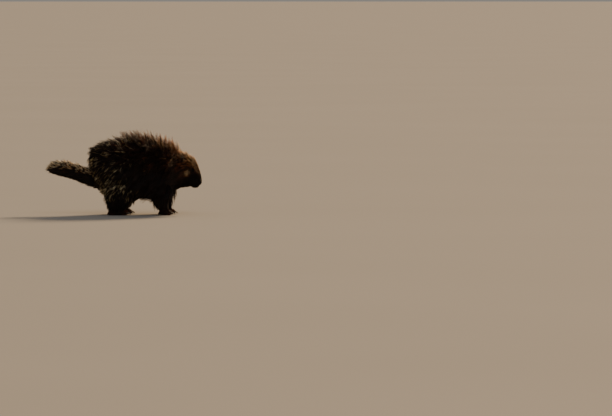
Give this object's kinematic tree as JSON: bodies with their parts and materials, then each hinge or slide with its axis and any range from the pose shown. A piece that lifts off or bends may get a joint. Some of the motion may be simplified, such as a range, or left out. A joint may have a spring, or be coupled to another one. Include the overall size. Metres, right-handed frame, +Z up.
{
  "type": "porcupine",
  "caption": "Life-size still model of a porcupine walking with its head low, its long coat and quills raised over an arched back and its thick tail held out behind.",
  "frame": {"origin": "on the ground, under the middle of the model's bounding box", "axes": "+X from the tail to the nose, the way the animal walks; +Y to the animal's left; +Z up"},
  "size_m": [0.653, 0.3164, 0.3546],
  "materials": {
    "coat": "coarse dark brown hair with pale quills among it",
    "mane": "long reddish-brown guard hair",
    "face": "short dark hair, golden on the crown",
    "tail": "cream quills with dark tips above, dark bristles below",
    "leg": "coarse near-black hair",
    "ear": "thin dark skin with short hair",
    "claw": "smooth dark horn",
    "eye": "wet, nearly black"
  },
  "bodies": {
    "root": {"torso": "coat", "neck": "mane", "head": "face", "tail": "tail", "leg_front_right": "leg", "claw_front_right_1": "claw", "claw_front_right_2": "claw", "claw_front_right_3": "claw", "claw_front_right_4": "claw", "leg_front_left": "leg", "claw_front_left_1": "claw", "claw_front_left_2": "claw", "claw_front_left_3": "claw", "claw_front_left_4": "claw", "leg_hind_right": "leg", "claw_hind_right_1": "claw", "claw_hind_right_2": "claw", "claw_hind_right_3": "claw", "claw_hind_right_4": "claw", "claw_hind_right_5": "claw", "leg_hind_left": "leg", "claw_hind_left_1": "claw", "claw_hind_left_2": "claw", "claw_hind_left_3": "claw", "claw_hind_left_4": "claw", "claw_hind_left_5": "claw", "ear_right": "ear", "eye_right": "eye", "ear_left": "ear", "eye_left": "eye"}
  },
  "joints": []
}
